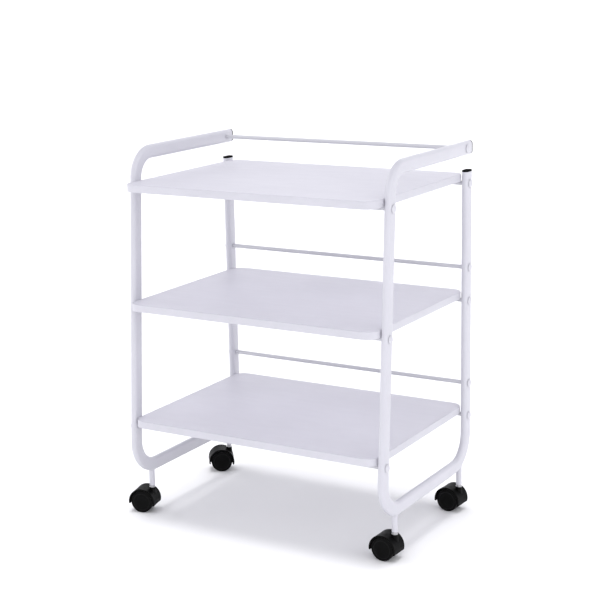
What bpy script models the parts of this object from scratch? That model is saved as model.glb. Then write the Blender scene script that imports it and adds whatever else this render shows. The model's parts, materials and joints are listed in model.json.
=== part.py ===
"""Three-shelf instrument cart on four twin-wheel casters.

Metres, +Z up. The cart's front faces -Y and its handles run along Y. The origin is on the floor,
under the centre of the whole cart's box.
"""

import math

import bmesh
import bpy
from mathutils import Euler, Matrix, Vector

# Clearances
GAP = 0.0003
RUNNING_CLEARANCE = 0.00005

# Side frames: flat-oval steel tube, one bent length on each side
TUBE_WIDTH = 0.030
TUBE_THICKNESS = 0.015
TUBE_WALL = 0.0015
REAR_POST_Y = 0.1917
FRONT_POST_Y = -0.2077
FRONT_POST_LEAN = 0.067
POST_TOP_Z = 0.7600
HANDLE_Z = 0.8115
HANDLE_END_Y = 0.2010
RUN_Z = 0.110
LOWER_BEND_RADIUS = 0.065
UPPER_BEND_RADIUS = 0.055

# Shelves: laminated boards with a plastic edge band
SHELF_WIDTH = 0.596
SHELF_DEPTH = 0.434
SHELF_THICKNESS = 0.016
SHELF_CORNER_RADIUS = 0.028
SHELF_CENTRE_Y = -0.0155
EDGE_BAND_THICKNESS = 0.002
SHELF_UNDERSIDES = {"bottom": 0.219, "middle": 0.4805, "top": 0.739}

# Cross rods, each bolted between the side frames
ROD_RADIUS = 0.0045
ROD_TAPPED_DEPTH = 0.015
GUARD_ROD_RISE = 0.0535
TOP_GUARD_ROD_Y = 0.1770

# Bolts
BOLT_HEAD_RADIUS = 0.009
BOLT_HEAD_HEIGHT = 0.0042
BOLT_RIM_HEIGHT = 0.0016
BOLT_RADIUS = 0.0025
BOLT_REACH = 0.012

# End plugs
PLUG_HEAD = 0.0040
PLUG_INSERT = 0.012

# Caster sockets welded under the side frames
SOCKET_RADIUS = 0.0063
SOCKET_BORE_RADIUS = 0.0042
SOCKET_BOTTOM_Z = 0.0615
FRONT_SOCKET_Y = -0.160
REAR_SOCKET_Y = 0.158

# Casters: local +X runs from the swivel axis to the axle, local Y along the axle
WHEEL_RADIUS = 0.025
WHEEL_WIDTH = 0.0145
CASTER_WIDTH = 0.044
CASTER_TRAIL = 0.0195
HOOD_RADIUS = 0.0305
HOOD_WALL = 0.0033
HOOD_WEB = 0.0130
HOOD_SKIRT = 0.0065
HOOD_SKIRT_SLOPE = math.radians(4)
HOOD_BOSS_RADIUS = 0.0068
HOOD_TOP_Z = 0.0560
AXLE_RADIUS = 0.003
AXLE_LENGTH = 0.037
WHEEL_CROWN = 0.0012
WHEEL_DISH = 0.0012
WHEEL_DISC_RADIUS = 0.0150
WHEEL_LIP_RADIUS = 0.0212
STEM_RADIUS = 0.0035
STEM_NECK_RADIUS = 0.0055
STEM_COLLAR_RADIUS = 0.0070
STEM_COLLAR_HEIGHT = 0.0018
STEM_PIN_RADIUS = 0.0038
STEM_PIN_RISE = 0.028
STEM_FOOT_Z = 0.033
CASTER_YAWS = {
    "front_left": math.radians(194),
    "front_right": math.radians(178),
    "rear_left": math.radians(216),
    "rear_right": math.radians(176),
}

# Facets
BEND_STEPS = 6
OVAL_STEPS = 6
CORNER_STEPS = 6
ROD_SIDES = 10
BOLT_SIDES = 10
DOME_STEPS = 3
PIN_SIDES = 16
WHEEL_SIDES = 24
HOOD_SIDES = 28

POST_X = SHELF_WIDTH / 2 + GAP + TUBE_THICKNESS / 2
FRAME_FACE_X = POST_X + TUBE_THICKNESS / 2
SIDES = {"left": -1, "right": 1}
WHEELS = {"a": -1, "b": 1}

for old in list(bpy.data.objects):
    bpy.data.objects.remove(old, do_unlink=True)

CART = bpy.data.collections.new("instrument_cart")
CUTTERS = bpy.data.collections.new("cutters")
bpy.context.scene.collection.children.link(CART)
bpy.context.scene.collection.children.link(CUTTERS)
CUTTERS.hide_render = True


# ---------------------------------------------------------------- materials


def material(name, colour, roughness, metallic=0.0):
    made = bpy.data.materials.new(name)
    made.use_nodes = True
    shader = made.node_tree.nodes["Principled BSDF"]
    shader.inputs["Base Color"].default_value = (*colour, 1.0)
    shader.inputs["Roughness"].default_value = roughness
    shader.inputs["Metallic"].default_value = metallic
    return made


WHITE_COAT = material("white_powder_coat", (0.80, 0.79, 0.86), 0.35)
WHITE_LAMINATE = material("white_laminate", (0.78, 0.77, 0.85), 0.40)
WHITE_BAND = material("white_edge_band", (0.74, 0.73, 0.80), 0.45)
WHITE_ROD = material("white_rod", (0.74, 0.75, 0.78), 0.35)
WHITE_BOLT = material("white_bolt", (0.80, 0.79, 0.85), 0.30)
BLACK_PLUG = material("black_plug", (0.02, 0.02, 0.02), 0.50)
BLACK_HOOD = material("black_hood", (0.02, 0.02, 0.02), 0.40)
BLACK_WHEEL = material("black_wheel", (0.015, 0.015, 0.015), 0.45)
BRIGHT_STEEL = material("bright_steel", (0.75, 0.75, 0.76), 0.25, 1.0)


# ------------------------------------------------------------------ helpers


def add_object(name, data, collection=CART, look=None):
    made = bpy.data.objects.new(name, data)
    collection.objects.link(made)
    if collection is CUTTERS:
        made.hide_render = True
        made.display_type = "WIRE"
    if look:
        data.materials.append(look)
    return made


def outline_curve(name, outlines, thickness):
    """A flat curve in local XY, centred on its plane, filled between its outlines."""
    data = bpy.data.curves.new(name, "CURVE")
    data.dimensions = "2D"
    data.fill_mode = "BOTH"
    data.extrude = thickness / 2
    for outline in outlines:
        spline = data.splines.new("POLY")
        spline.points.add(len(outline) - 1)
        for point, (x, y) in zip(spline.points, outline):
            point.co = (x, y, 0.0, 1.0)
        spline.use_cyclic_u = True
    return data


def mesh_from_curve(obj):
    """Replaces a curve object with a mesh object of the same name and place, its caps welded on."""
    bpy.context.view_layer.update()
    evaluated = obj.evaluated_get(bpy.context.evaluated_depsgraph_get())
    mesh = bpy.data.meshes.new_from_object(evaluated)
    bm = bmesh.new()
    bm.from_mesh(mesh)
    bmesh.ops.remove_doubles(bm, verts=bm.verts, dist=1e-6)
    bmesh.ops.recalc_face_normals(bm, faces=bm.faces)
    bm.to_mesh(mesh)
    bm.free()
    name = obj.name
    collection = obj.users_collection[0]
    place = obj.matrix_world.copy()
    data = obj.data
    bpy.data.objects.remove(obj, do_unlink=True)
    bpy.data.curves.remove(data)
    made = add_object(name, mesh, collection)
    made.matrix_world = place
    return made


def turned(name, profile, sides, look):
    """A solid turned about local Z. The profile is (radius, height) down the outer side."""
    mesh = bpy.data.meshes.new(name)
    points = [(radius, 0.0, height) for radius, height in profile]
    mesh.from_pydata(points, [(i, i + 1) for i in range(len(points) - 1)], [])
    made = add_object(name, mesh, look=look)
    screw = made.modifiers.new("turn", "SCREW")
    screw.axis = "Z"
    screw.steps = sides
    screw.render_steps = sides
    screw.use_merge_vertices = True
    screw.merge_threshold = 0.00001
    screw.use_smooth_shade = True
    return made


def cylinder(name, radius, low, high, sides, collection=CUTTERS):
    """A cylinder about local Z between two heights."""
    bm = bmesh.new()
    bmesh.ops.create_cone(
        bm,
        cap_ends=True,
        segments=sides,
        radius1=radius,
        radius2=radius,
        depth=high - low,
        matrix=Matrix.Translation((0, 0, (low + high) / 2)),
    )
    mesh = bpy.data.meshes.new(name)
    bm.to_mesh(mesh)
    bm.free()
    return add_object(name, mesh, collection)


def box(name, low, high):
    """A cutter box between two corners."""
    size = Vector(high) - Vector(low)
    centre = (Vector(high) + Vector(low)) / 2
    bm = bmesh.new()
    bmesh.ops.create_cube(bm, size=1.0, matrix=Matrix.Translation(centre) @ Matrix.Diagonal((*size, 1.0)))
    mesh = bpy.data.meshes.new(name)
    bm.to_mesh(mesh)
    bm.free()
    return add_object(name, mesh, CUTTERS)


def boolean(obj, other, operation):
    step = obj.modifiers.new(other.name, "BOOLEAN")
    step.operation = operation
    step.solver = "EXACT"
    step.object = other


def bore_radius(shaft_radius, sides):
    """Corner radius of a faceted bore whose flats clear a shaft of this radius."""
    return (shaft_radius + RUNNING_CLEARANCE) / math.cos(math.pi / sides)


def smooth(obj, degrees=35):
    obj.data.shade_smooth()
    obj.data.set_sharp_from_angle(angle=math.radians(degrees))


# ----------------------------------------------------------------- outlines


def stadium(width, thickness):
    """Outline of a flat oval, its wide way along X."""
    radius = thickness / 2
    offset = width / 2 - radius
    points = []
    for side, start in ((1, -math.pi / 2), (-1, math.pi / 2)):
        for i in range(OVAL_STEPS + 1):
            angle = start + math.pi * i / OVAL_STEPS
            points.append((side * offset + radius * math.cos(angle), radius * math.sin(angle)))
    return points


def rounded_rectangle(width, depth, radius):
    points = []
    for quarter in range(4):
        x_side = (1, -1, -1, 1)[quarter]
        y_side = (1, 1, -1, -1)[quarter]
        centre = Vector((x_side * (width / 2 - radius), y_side * (depth / 2 - radius)))
        for i in range(CORNER_STEPS + 1):
            angle = math.pi / 2 * (quarter + i / CORNER_STEPS)
            points.append(centre + radius * Vector((math.cos(angle), math.sin(angle))))
    return points


def rounded_path(corners, radii):
    """The path through these points with every inner corner rounded to its radius."""
    points = [Vector(corners[0])]
    for before, corner, after, radius in zip(corners, corners[1:], corners[2:], radii):
        corner = Vector(corner)
        coming = (corner - Vector(before)).normalized()
        going = (Vector(after) - corner).normalized()
        turn = coming.angle_signed(going)
        start = corner - coming * radius * math.tan(abs(turn) / 2)
        inward = (going - coming * coming.dot(going)).normalized()
        for i in range(BEND_STEPS + 1):
            angle = abs(turn) * i / BEND_STEPS
            points.append(start + radius * (math.sin(angle) * coming + (1 - math.cos(angle)) * inward))
    points.append(Vector(corners[-1]))
    return points


# -------------------------------------------------------------- side frames


def front_post_y(z):
    """The front posts lean back a little towards the top."""
    return FRONT_POST_Y + FRONT_POST_LEAN * (z - SHELF_UNDERSIDES["bottom"])


def shelf_rod_z(level):
    return SHELF_UNDERSIDES[level] - GAP - ROD_RADIUS


def rod_places():
    """Each rod's name and its axis in (y, z)."""
    places = {}
    for level in SHELF_UNDERSIDES:
        z = shelf_rod_z(level)
        places[f"shelf_rod_front_{level}"] = (front_post_y(z), z)
        places[f"shelf_rod_rear_{level}"] = (REAR_POST_Y, z)
        guard_z = SHELF_UNDERSIDES[level] + SHELF_THICKNESS + GUARD_ROD_RISE
        if level == "top":
            places["guard_rod_top"] = (TOP_GUARD_ROD_Y, HANDLE_Z)
        else:
            places[f"guard_rod_{level}"] = (REAR_POST_Y, guard_z)
    return places


def tube_surface(name, x):
    """The open outer surface of one bent tube, in the plane at this x."""
    path = rounded_path(
        [
            (REAR_POST_Y, POST_TOP_Z),
            (REAR_POST_Y, RUN_Z),
            (front_post_y(RUN_Z), RUN_Z),
            (front_post_y(HANDLE_Z), HANDLE_Z),
            (HANDLE_END_Y, HANDLE_Z),
        ],
        [LOWER_BEND_RADIUS, LOWER_BEND_RADIUS, UPPER_BEND_RADIUS],
    )
    section = add_object(
        f"{name}_section", outline_curve(f"{name}_section", [stadium(TUBE_WIDTH, TUBE_THICKNESS)], 0), CUTTERS
    )
    section.data.fill_mode = "NONE"
    data = bpy.data.curves.new(name, "CURVE")
    data.dimensions = "2D"
    data.fill_mode = "NONE"
    data.bevel_mode = "OBJECT"
    data.bevel_object = section
    spline = data.splines.new("POLY")
    spline.points.add(len(path) - 1)
    for point, (y, z) in zip(spline.points, path):
        point.co = (y, z, 0.0, 1.0)
    curve = add_object(name, data)
    # Local X, Y and Z stand along world Y, Z and X.
    curve.location = (x, 0, 0)
    curve.rotation_euler = (math.pi / 2, 0, math.pi / 2)
    frame = mesh_from_curve(curve)
    section_data = section.data
    bpy.data.objects.remove(section, do_unlink=True)
    bpy.data.curves.remove(section_data)
    return frame


def side_frame(side, x):
    frame = tube_surface(f"side_frame_{side}", x)
    frame.data.materials.append(WHITE_COAT)
    smooth(frame)
    wall = frame.modifiers.new("wall", "SOLIDIFY")
    wall.thickness = TUBE_WALL
    wall.offset = -1
    wall.use_even_offset = True
    for end, y in (("front", FRONT_SOCKET_Y), ("rear", REAR_SOCKET_Y)):
        top = RUN_Z - TUBE_THICKNESS / 2
        socket = cylinder(f"socket_{end}_{side}", SOCKET_RADIUS, SOCKET_BOTTOM_Z, top, PIN_SIDES)
        socket.location = (x, y, 0)
        boolean(frame, socket, "UNION")
    for end, y in (("front", FRONT_SOCKET_Y), ("rear", REAR_SOCKET_Y)):
        low = SOCKET_BOTTOM_Z - TUBE_WALL
        high = SOCKET_BOTTOM_Z + STEM_PIN_RISE + TUBE_WALL
        bore = cylinder(f"socket_bore_{end}_{side}", SOCKET_BORE_RADIUS, low, high, PIN_SIDES)
        bore.location = (x, y, 0)
        boolean(frame, bore, "DIFFERENCE")
    for name, (y, z) in rod_places().items():
        hole = cylinder(
            f"hole_{name}_{side}", BOLT_RADIUS + GAP, -TUBE_THICKNESS, TUBE_THICKNESS, BOLT_SIDES
        )
        hole.location = (x, y, z)
        hole.rotation_euler = (0, math.pi / 2, 0)
        boolean(frame, hole, "DIFFERENCE")


def end_plug(name, place, rotation):
    """A flat-oval plug with its insert down local -Z and its head above local Z = 0."""
    head = add_object(
        name, outline_curve(name, [stadium(TUBE_WIDTH, TUBE_THICKNESS)], PLUG_HEAD), look=BLACK_PLUG
    )
    inner = 2 * (TUBE_WALL + GAP)
    overlap = PLUG_HEAD / 2
    insert = add_object(
        f"{name}_insert",
        outline_curve(
            f"{name}_insert", [stadium(TUBE_WIDTH - inner, TUBE_THICKNESS - inner)], PLUG_INSERT + overlap
        ),
        CUTTERS,
    )
    turn = Euler(rotation).to_matrix().to_4x4()
    base = Matrix.Translation(place) @ turn
    head.matrix_world = base @ Matrix.Translation((0, 0, GAP + PLUG_HEAD / 2))
    insert.matrix_world = base @ Matrix.Translation((0, 0, GAP + overlap - (PLUG_INSERT + overlap) / 2))
    plug = mesh_from_curve(head)
    smooth(plug)
    boolean(plug, mesh_from_curve(insert), "UNION")


# ------------------------------------------------------------------ shelves


def shelf(level):
    z = SHELF_UNDERSIDES[level] + SHELF_THICKNESS / 2
    outer = rounded_rectangle(SHELF_WIDTH, SHELF_DEPTH, SHELF_CORNER_RADIUS)
    band = EDGE_BAND_THICKNESS
    inner = rounded_rectangle(SHELF_WIDTH - 2 * band, SHELF_DEPTH - 2 * band, SHELF_CORNER_RADIUS - band)
    band += GAP
    core = rounded_rectangle(SHELF_WIDTH - 2 * band, SHELF_DEPTH - 2 * band, SHELF_CORNER_RADIUS - band)
    for name, outlines, look in (
        (f"shelf_{level}", [core], WHITE_LAMINATE),
        (f"edge_band_{level}", [outer, inner], WHITE_BAND),
    ):
        curve = add_object(name, outline_curve(name, outlines, SHELF_THICKNESS), look=look)
        curve.location = (0, SHELF_CENTRE_Y, z)
        smooth(mesh_from_curve(curve))


# ----------------------------------------------------------- rods and bolts


def rod(name, y, z):
    """A round rod with a tapped hole in each end, along X."""
    half = SHELF_WIDTH / 2
    hole = BOLT_RADIUS + GAP
    profile = [
        (0, half - ROD_TAPPED_DEPTH),
        (hole, half - ROD_TAPPED_DEPTH),
        (hole, half),
        (ROD_RADIUS, half),
        (ROD_RADIUS, -half),
        (hole, -half),
        (hole, -half + ROD_TAPPED_DEPTH),
        (0, -half + ROD_TAPPED_DEPTH),
    ]
    made = turned(name, profile, ROD_SIDES, WHITE_ROD)
    made.location = (0, y, z)
    made.rotation_euler = (0, math.pi / 2, 0)


def dome(radius, low, high):
    """Profile of a round cap of a sphere, from its top on the axis down to its rim."""
    rise = high - low
    sphere = (radius**2 + rise**2) / (2 * rise)
    half_angle = math.asin(radius / sphere)
    angles = [half_angle * i / DOME_STEPS for i in range(DOME_STEPS + 1)]
    return [(sphere * math.sin(angle), high - sphere * (1 - math.cos(angle))) for angle in angles]


def bolt(name, side, y, z):
    """A domed bolt through the side frame into the rod's end, its head on the outer face."""
    reach = TUBE_THICKNESS + GAP + BOLT_REACH
    profile = [
        *dome(BOLT_HEAD_RADIUS, BOLT_RIM_HEIGHT, BOLT_HEAD_HEIGHT),
        (BOLT_HEAD_RADIUS, 0),
        (BOLT_RADIUS, 0),
        (BOLT_RADIUS, -reach),
        (0, -reach),
    ]
    made = turned(name, profile, BOLT_SIDES, WHITE_BOLT)
    made.location = (side * (FRAME_FACE_X + GAP), y, z)
    made.rotation_euler = (0, side * math.pi / 2, 0)


# ------------------------------------------------------------------ casters


def stem(name, empty):
    """The swivel stem: its pin stands in the socket, and its foot in the hood's boss."""
    neck_top = SOCKET_BOTTOM_Z - GAP
    collar_low = HOOD_TOP_Z + GAP
    profile = [
        (0, SOCKET_BOTTOM_Z + STEM_PIN_RISE),
        (STEM_PIN_RADIUS, SOCKET_BOTTOM_Z + STEM_PIN_RISE),
        (STEM_PIN_RADIUS, neck_top),
        (STEM_NECK_RADIUS, neck_top),
        (STEM_NECK_RADIUS, collar_low + STEM_COLLAR_HEIGHT),
        (STEM_COLLAR_RADIUS, collar_low + STEM_COLLAR_HEIGHT),
        (STEM_COLLAR_RADIUS, collar_low),
        (STEM_RADIUS, collar_low),
        (STEM_RADIUS, STEM_FOOT_Z),
        (0, STEM_FOOT_Z),
    ]
    made = turned(name, profile, PIN_SIDES, BRIGHT_STEEL)
    made.parent = empty


def hood(name, empty):
    """The cover over both wheels, with the web between them and the boss that turns on the stem."""
    along_axle = Euler((math.pi / 2, 0, 0))
    axle = Vector((CASTER_TRAIL, 0, WHEEL_RADIUS))
    cover = cylinder(name, HOOD_RADIUS, -CASTER_WIDTH / 2, CASTER_WIDTH / 2, HOOD_SIDES, CART)
    cover.data.materials.append(BLACK_HOOD)
    smooth(cover)
    cover.location = axle
    cover.rotation_euler = along_axle
    cover.parent = empty
    for wheel_name, side in WHEELS.items():
        ends = sorted((side * HOOD_WEB / 2, side * CASTER_WIDTH))
        well = cylinder(f"{name}_well_{wheel_name}", HOOD_RADIUS - HOOD_WALL, *ends, HOOD_SIDES)
        well.location = axle
        well.rotation_euler = along_axle
        well.parent = empty
        boolean(cover, well, "DIFFERENCE")
    reach = HOOD_RADIUS + HOOD_WALL
    below = box(f"{name}_below", (-reach, -reach, -2 * reach), (reach, reach, -HOOD_SKIRT))
    below.location = axle
    below.rotation_euler = (0, -HOOD_SKIRT_SLOPE, 0)
    below.parent = empty
    boolean(cover, below, "DIFFERENCE")
    boss = cylinder(f"{name}_boss", HOOD_BOSS_RADIUS, WHEEL_RADIUS, HOOD_TOP_Z, PIN_SIDES)
    boss.parent = empty
    boolean(cover, boss, "UNION")
    stem_hole = bore_radius(STEM_RADIUS, PIN_SIDES)
    stem_bore = cylinder(f"{name}_stem_bore", stem_hole, STEM_FOOT_Z - GAP, HOOD_TOP_Z + GAP, PIN_SIDES)
    stem_bore.parent = empty
    boolean(cover, stem_bore, "DIFFERENCE")
    axle_bore = cylinder(f"{name}_axle_bore", AXLE_RADIUS + GAP, -HOOD_WEB, HOOD_WEB, PIN_SIDES)
    axle_bore.location = axle
    axle_bore.rotation_euler = along_axle
    axle_bore.parent = empty
    boolean(cover, axle_bore, "DIFFERENCE")


def axle_pin(name, empty):
    half = AXLE_LENGTH / 2
    profile = [(0, half), (AXLE_RADIUS, half), (AXLE_RADIUS, -half), (0, -half)]
    pin = turned(name, profile, PIN_SIDES, BRIGHT_STEEL)
    pin.location = (CASTER_TRAIL, 0, WHEEL_RADIUS)
    pin.rotation_euler = (math.pi / 2, 0, 0)
    pin.parent = empty


def wheel(name, empty, side):
    """A plastic wheel with a crowned tread, a dished outer face and a blind bore from inside."""
    outer = CASTER_WIDTH / 2
    inner = outer - WHEEL_WIDTH
    bore = bore_radius(AXLE_RADIUS, PIN_SIDES)
    bore_end = AXLE_LENGTH / 2 + GAP
    profile = [
        (0, outer),
        (WHEEL_DISC_RADIUS, outer - WHEEL_DISH / 3),
        (WHEEL_LIP_RADIUS, outer - WHEEL_DISH),
        (WHEEL_RADIUS - WHEEL_CROWN, outer - WHEEL_DISH),
        (WHEEL_RADIUS, outer - WHEEL_DISH - WHEEL_CROWN),
        (WHEEL_RADIUS, inner + WHEEL_CROWN),
        (WHEEL_RADIUS - WHEEL_CROWN, inner),
        (bore, inner),
        (bore, bore_end),
        (0, bore_end),
    ]
    made = turned(name, profile, WHEEL_SIDES, BLACK_WHEEL)
    made.location = (CASTER_TRAIL, 0, WHEEL_RADIUS)
    made.rotation_euler = (side * math.pi / 2, 0, 0)
    made.parent = empty


def caster(corner, x, y):
    empty = bpy.data.objects.new(f"caster_{corner}_swivel", None)
    CART.objects.link(empty)
    empty.location = (x, y, 0)
    empty.rotation_euler = (0, 0, CASTER_YAWS[corner])
    stem(f"caster_{corner}_stem", empty)
    hood(f"caster_{corner}_hood", empty)
    axle_pin(f"caster_{corner}_axle", empty)
    for wheel_name, side in WHEELS.items():
        wheel(f"caster_{corner}_wheel_{wheel_name}", empty, side)


# ----------------------------------------------------------------- assembly


def centre_on_floor():
    """Hangs everything from one empty and moves it, so that the origin is under the box's centre."""
    bpy.context.view_layer.update()
    graph = bpy.context.evaluated_depsgraph_get()
    points = []
    for obj in CART.objects:
        if obj.type == "MESH":
            evaluated = obj.evaluated_get(graph)
            points += [evaluated.matrix_world @ vertex.co for vertex in evaluated.data.vertices]
    low = [min(point[i] for point in points) for i in range(3)]
    high = [max(point[i] for point in points) for i in range(3)]
    origin = bpy.data.objects.new("instrument_cart_origin", None)
    CART.objects.link(origin)
    for obj in list(CART.objects) + list(CUTTERS.objects):
        if obj.parent is None and obj is not origin:
            obj.parent = origin
    origin.location = (-(low[0] + high[0]) / 2, -(low[1] + high[1]) / 2, -low[2])
    bpy.context.view_layer.update()


def build():
    for side, sign in SIDES.items():
        x = sign * POST_X
        side_frame(side, x)
        end_plug(f"post_plug_{side}", (x, REAR_POST_Y, POST_TOP_Z), (0, 0, math.pi / 2))
        end_plug(f"handle_plug_{side}", (x, HANDLE_END_Y, HANDLE_Z), (0, math.pi / 2, math.pi / 2))
        caster(f"front_{side}", x, FRONT_SOCKET_Y)
        caster(f"rear_{side}", x, REAR_SOCKET_Y)
    for level in SHELF_UNDERSIDES:
        shelf(level)
    for name, (y, z) in rod_places().items():
        rod(name, y, z)
        for side, sign in SIDES.items():
            bolt(f"bolt_{name}_{side}", sign, y, z)
    centre_on_floor()


build()
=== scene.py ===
"""Looks of the three-shelf instrument cart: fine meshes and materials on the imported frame, on a pale floor.

Metres, +Z up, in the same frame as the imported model.
"""

import json
import math

import bmesh
import bpy
from mathutils import Matrix, Vector
from mathutils.bvhtree import BVHTree


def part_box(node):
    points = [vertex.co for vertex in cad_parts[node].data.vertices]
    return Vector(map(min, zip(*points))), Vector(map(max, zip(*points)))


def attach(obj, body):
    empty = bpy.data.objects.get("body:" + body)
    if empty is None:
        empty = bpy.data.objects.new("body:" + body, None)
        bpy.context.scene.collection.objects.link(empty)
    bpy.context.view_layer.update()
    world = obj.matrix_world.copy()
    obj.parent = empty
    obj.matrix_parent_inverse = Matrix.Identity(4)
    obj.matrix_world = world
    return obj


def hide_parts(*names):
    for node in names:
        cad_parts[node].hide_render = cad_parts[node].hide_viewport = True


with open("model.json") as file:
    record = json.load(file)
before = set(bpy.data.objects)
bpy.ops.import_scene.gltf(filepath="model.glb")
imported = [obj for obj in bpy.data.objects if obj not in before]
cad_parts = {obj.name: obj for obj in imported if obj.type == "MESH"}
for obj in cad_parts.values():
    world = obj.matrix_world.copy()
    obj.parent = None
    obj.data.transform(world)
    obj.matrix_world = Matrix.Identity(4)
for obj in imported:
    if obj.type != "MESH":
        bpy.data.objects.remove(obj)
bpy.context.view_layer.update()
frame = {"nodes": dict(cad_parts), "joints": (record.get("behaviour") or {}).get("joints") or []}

# Side frames
TUBE_WALL = 0.0015
RUN_Z = 0.110
LOWER_BEND_RADIUS = 0.065
UPPER_BEND_RADIUS = 0.055
SOCKET_RADIUS = 0.0063
SOCKET_BORE_RADIUS = 0.0042
SOCKET_BORE_DEPTH = 0.0295
SOCKET_EASE = 0.0006
WELD_RADIUS = 0.0011
BOLT_HOLE_RADIUS = 0.0028

# Shelves
SHELF_CORNER_RADIUS = 0.028
EDGE_BAND_THICKNESS = 0.002
BAND_EASE = 0.0009
BAND_INNER_EASE = 0.0004
BOARD_EASE = 0.0005
BOARD_FACE_INSET = 0.010

# Rods and bolts
ROD_RADIUS = 0.0045
ROD_TAPPED_DEPTH = 0.015
ROD_EASE = 0.0003
BOLT_HEAD_RADIUS = 0.009
BOLT_HEAD_HEIGHT = 0.0042
BOLT_RIM_HEIGHT = 0.0016
BOLT_RIM_EASE = 0.0004
BOLT_FOOT_RADIUS = 0.0078
BOLT_FOOT_HEIGHT = 0.0006
BOLT_RADIUS = 0.0025

# End plugs
PLUG_HEAD = 0.0040
PLUG_CROWN = 0.0005
PLUG_EASE = 0.0009

# Casters
WHEEL_RADIUS = 0.025
WHEEL_WIDTH = 0.0145
WHEEL_SHOULDER = 0.0016
WHEEL_GROOVE_RADIUS = 0.0206
WHEEL_GROOVE_WIDTH = 0.0009
WHEEL_GROOVE_DEPTH = 0.0005
WHEEL_FACE_DROP = 0.0010
WHEEL_BORE_RADIUS = 0.00308
CASTER_WIDTH = 0.044
AXLE_LENGTH = 0.037
HOOD_RADIUS = 0.0305
HOOD_WALL = 0.0033
HOOD_WEB = 0.0130
HOOD_SKIRT = 0.0065
HOOD_SKIRT_SLOPE = math.radians(4)
HOOD_EASE = 0.0009
HOOD_END_ROUND = 0.3
HOOD_RIM_WIDTH = 0.0030
HOOD_RIM_HEIGHT = 0.0003
BOSS_TOP_RADIUS = 0.0068
BOSS_ROOT_RADIUS = 0.0076
BOSS_EASE = 0.0007
STEM_RADIUS = 0.0035
STEM_BORE_RADIUS = 0.00358
STEM_NECK_RADIUS = 0.0055
STEM_COLLAR_RADIUS = 0.0070
STEM_COLLAR_HEIGHT = 0.0018
STEM_PIN_RADIUS = 0.0038
STEM_EASE = 0.0003

GAP = 0.0003

# Facets
OVAL_STEPS = 14
BEND_STEPS = 22
CORNER_STEPS = 16
EASE_STEPS = 4
FINE_SIDES = 48
HOOD_STEPS = 64
WELD_STEPS = 56
WELD_SIDES = 12
DOME_STEPS = 10
SHARP_ANGLE = math.radians(32)
SMALLEST_EDGE = 1e-7

# Gloss of what isn't metal or paint, on the shader's scale where 0.5 is usual
BOARD_GLOSS = 0.35
PLUG_GLOSS = 0.01
CASTER_GLOSS = 0.05
FLOOR_GLOSS = 0.2

# Tones of wear, dust and painted edge highlights, mixed into a finish
COAT_SPECK = (0.45, 0.45, 0.48, 1.0)
COAT_SCUFF = (0.42, 0.42, 0.44, 1.0)
COAT_RUBBED = (0.55, 0.55, 0.57, 1.0)
PLASTIC_DUST = (0.30, 0.29, 0.28, 1.0)
PLUG_RUBBED = (0.012, 0.012, 0.012, 1.0)
# The hood's edge tone is rubbed wear and also a painted highlight
HOOD_RUBBED_AND_HIGHLIGHT = (0.034, 0.034, 0.034, 1.0)
# The wheel's edge tone is a painted highlight
WHEEL_EDGE_HIGHLIGHT = (0.030, 0.030, 0.030, 1.0)
TREAD_WORN = (0.016, 0.016, 0.015, 1.0)

# Bump depths
PEEL_DEPTH = 0.00002
COAT_GRAIN_DEPTH = 0.000006
PEARL_DEPTH = 0.000012
BAND_RIPPLE_DEPTH = 0.00001
PLUG_GRAIN_DEPTH = 0.00001
HOOD_GRAIN_DEPTH = 0.00003
WHEEL_RING_DEPTH = 0.000003
WHEEL_GRAIN_DEPTH = 0.00001
ZINC_MARK_DEPTH = 0.000004

# The tread's dulled band, as distances in from the wheel's full radius
TREAD_WEAR_START = 0.0008
TREAD_WEAR_END = 0.0001

# Camera
CAMERA_TARGET = (0.0102, 0.0245, 0.4825)
CAMERA_DISTANCE = 3.236
CAMERA_AZIMUTH = math.radians(30.543)
CAMERA_ELEVATION = math.radians(12.895)
CAMERA_ROLL = math.radians(-1.122)
CAMERA_LENS = 88.5
CAMERA_SENSOR = 36.0

# Floor
FLOOR_SIZE = 120.0
FLOOR_DARK = (0.75, 0.75, 0.755, 1.0)
FLOOR_PALE = (0.77, 0.77, 0.77, 1.0)
FLOOR_ROUGHNESS = 0.9

# Light: each soft light has its azimuth, elevation and width in degrees, and its strength
WHITE = (1.0, 1.0, 1.0, 1.0)
ROOM_COLOUR = (0.93, 0.93, 1.0)
ROOM_STRENGTH = 0.77
SOFT_LIGHTS = {
    "front_fill": (10, 25, 70, 0.65),
    "right_fill": (85, 24, 60, 0.85),
    "left_fill": (-80, 20, 60, 1.05),
    "rear_fill": (190, 22, 60, 0.72),
}
FLOOR_LIGHT = (0, 90, 30, 2.1)

LEVELS = ("bottom", "middle", "top")
SIDES = {"left": -1, "right": 1}
CORNERS = [f"{end}_{side}" for end in ("front", "rear") for side in SIDES]
ROD_KINDS = ("shelf_rod_front", "shelf_rod_rear", "guard_rod")
ROD_NAMES = [f"{kind}_{level}" for level in LEVELS for kind in ROD_KINDS]
JOINTS = {joint["name"]: joint for joint in frame["joints"]}


# ------------------------------------------------------- places in the frame


def centre_of(node):
    low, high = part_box(node)
    return (low + high) / 2


def front_axis_y(z):
    """The leaning axis of the front posts, through the centres of the rods bolted to them."""
    low = centre_of("shelf_rod_front_bottom")
    high = centre_of("shelf_rod_front_top")
    return low.y + (high.y - low.y) * (z - low.z) / (high.z - low.z)


# ---------------------------------------------------------------- materials


def add_node(tree, kind, links=(), **settings):
    """A shader node with its settings, and its inputs linked or set from (input, source) pairs."""
    node = tree.nodes.new(kind)
    for name, value in settings.items():
        setattr(node, name, value)
    for socket, source in links:
        if isinstance(source, bpy.types.NodeSocket):
            tree.links.new(source, node.inputs[socket])
        else:
            node.inputs[socket].default_value = source
    return node


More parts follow.
